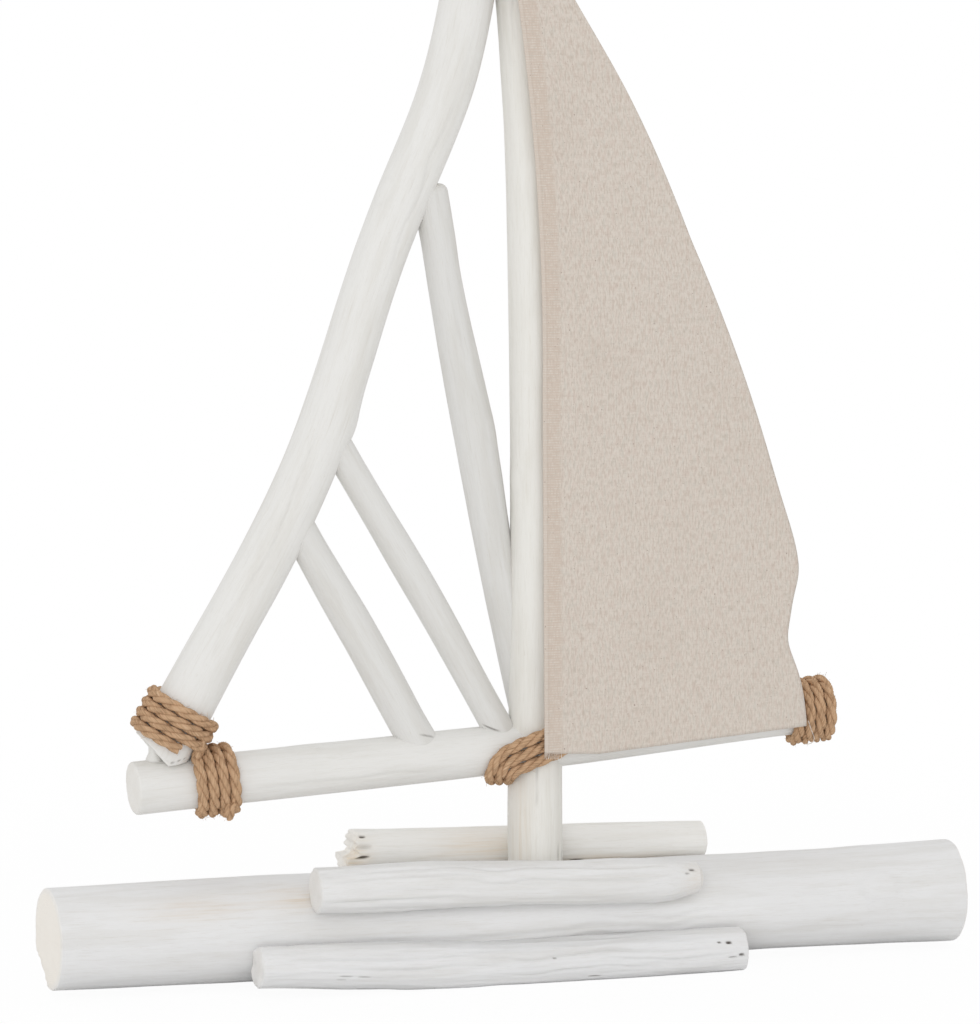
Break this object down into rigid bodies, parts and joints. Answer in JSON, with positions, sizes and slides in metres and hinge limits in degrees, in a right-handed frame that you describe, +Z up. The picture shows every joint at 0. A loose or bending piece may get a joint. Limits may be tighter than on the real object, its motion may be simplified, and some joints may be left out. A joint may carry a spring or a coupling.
{
  "type": "driftwood model sailing boat",
  "caption": "Decorative model sailing boat of whitewashed driftwood: log hull on side sticks, mast, boom and leaning spar with struts, rope lashings and a linen sail.",
  "frame": {"origin": "on the floor, below the middle of the hull log", "axes": "+X along the log to the aft end, +Y to the far side, +Z up"},
  "size_m": [0.523, 0.0996, 0.611],
  "materials": {
    "driftwood": "dry driftwood, thin whitewash",
    "jute_rope": "twisted jute, matt",
    "linen": "plain woven linen, matt"
  },
  "bodies": {
    "root": {"hull_log": "driftwood", "stick_upper_near": "driftwood", "stick_upper_far": "driftwood", "stick_lower_near": "driftwood", "stick_lower_far": "driftwood", "mast": "driftwood", "boom": "driftwood", "spar": "driftwood", "spar_peg": "driftwood", "strut_long": "driftwood", "strut_middle": "driftwood", "strut_short": "driftwood", "lashing_fore": "jute_rope", "lashing_crossing": "jute_rope", "lashing_aft": "jute_rope", "lashing_head": "jute_rope", "sail": "linen"}
  },
  "joints": []
}
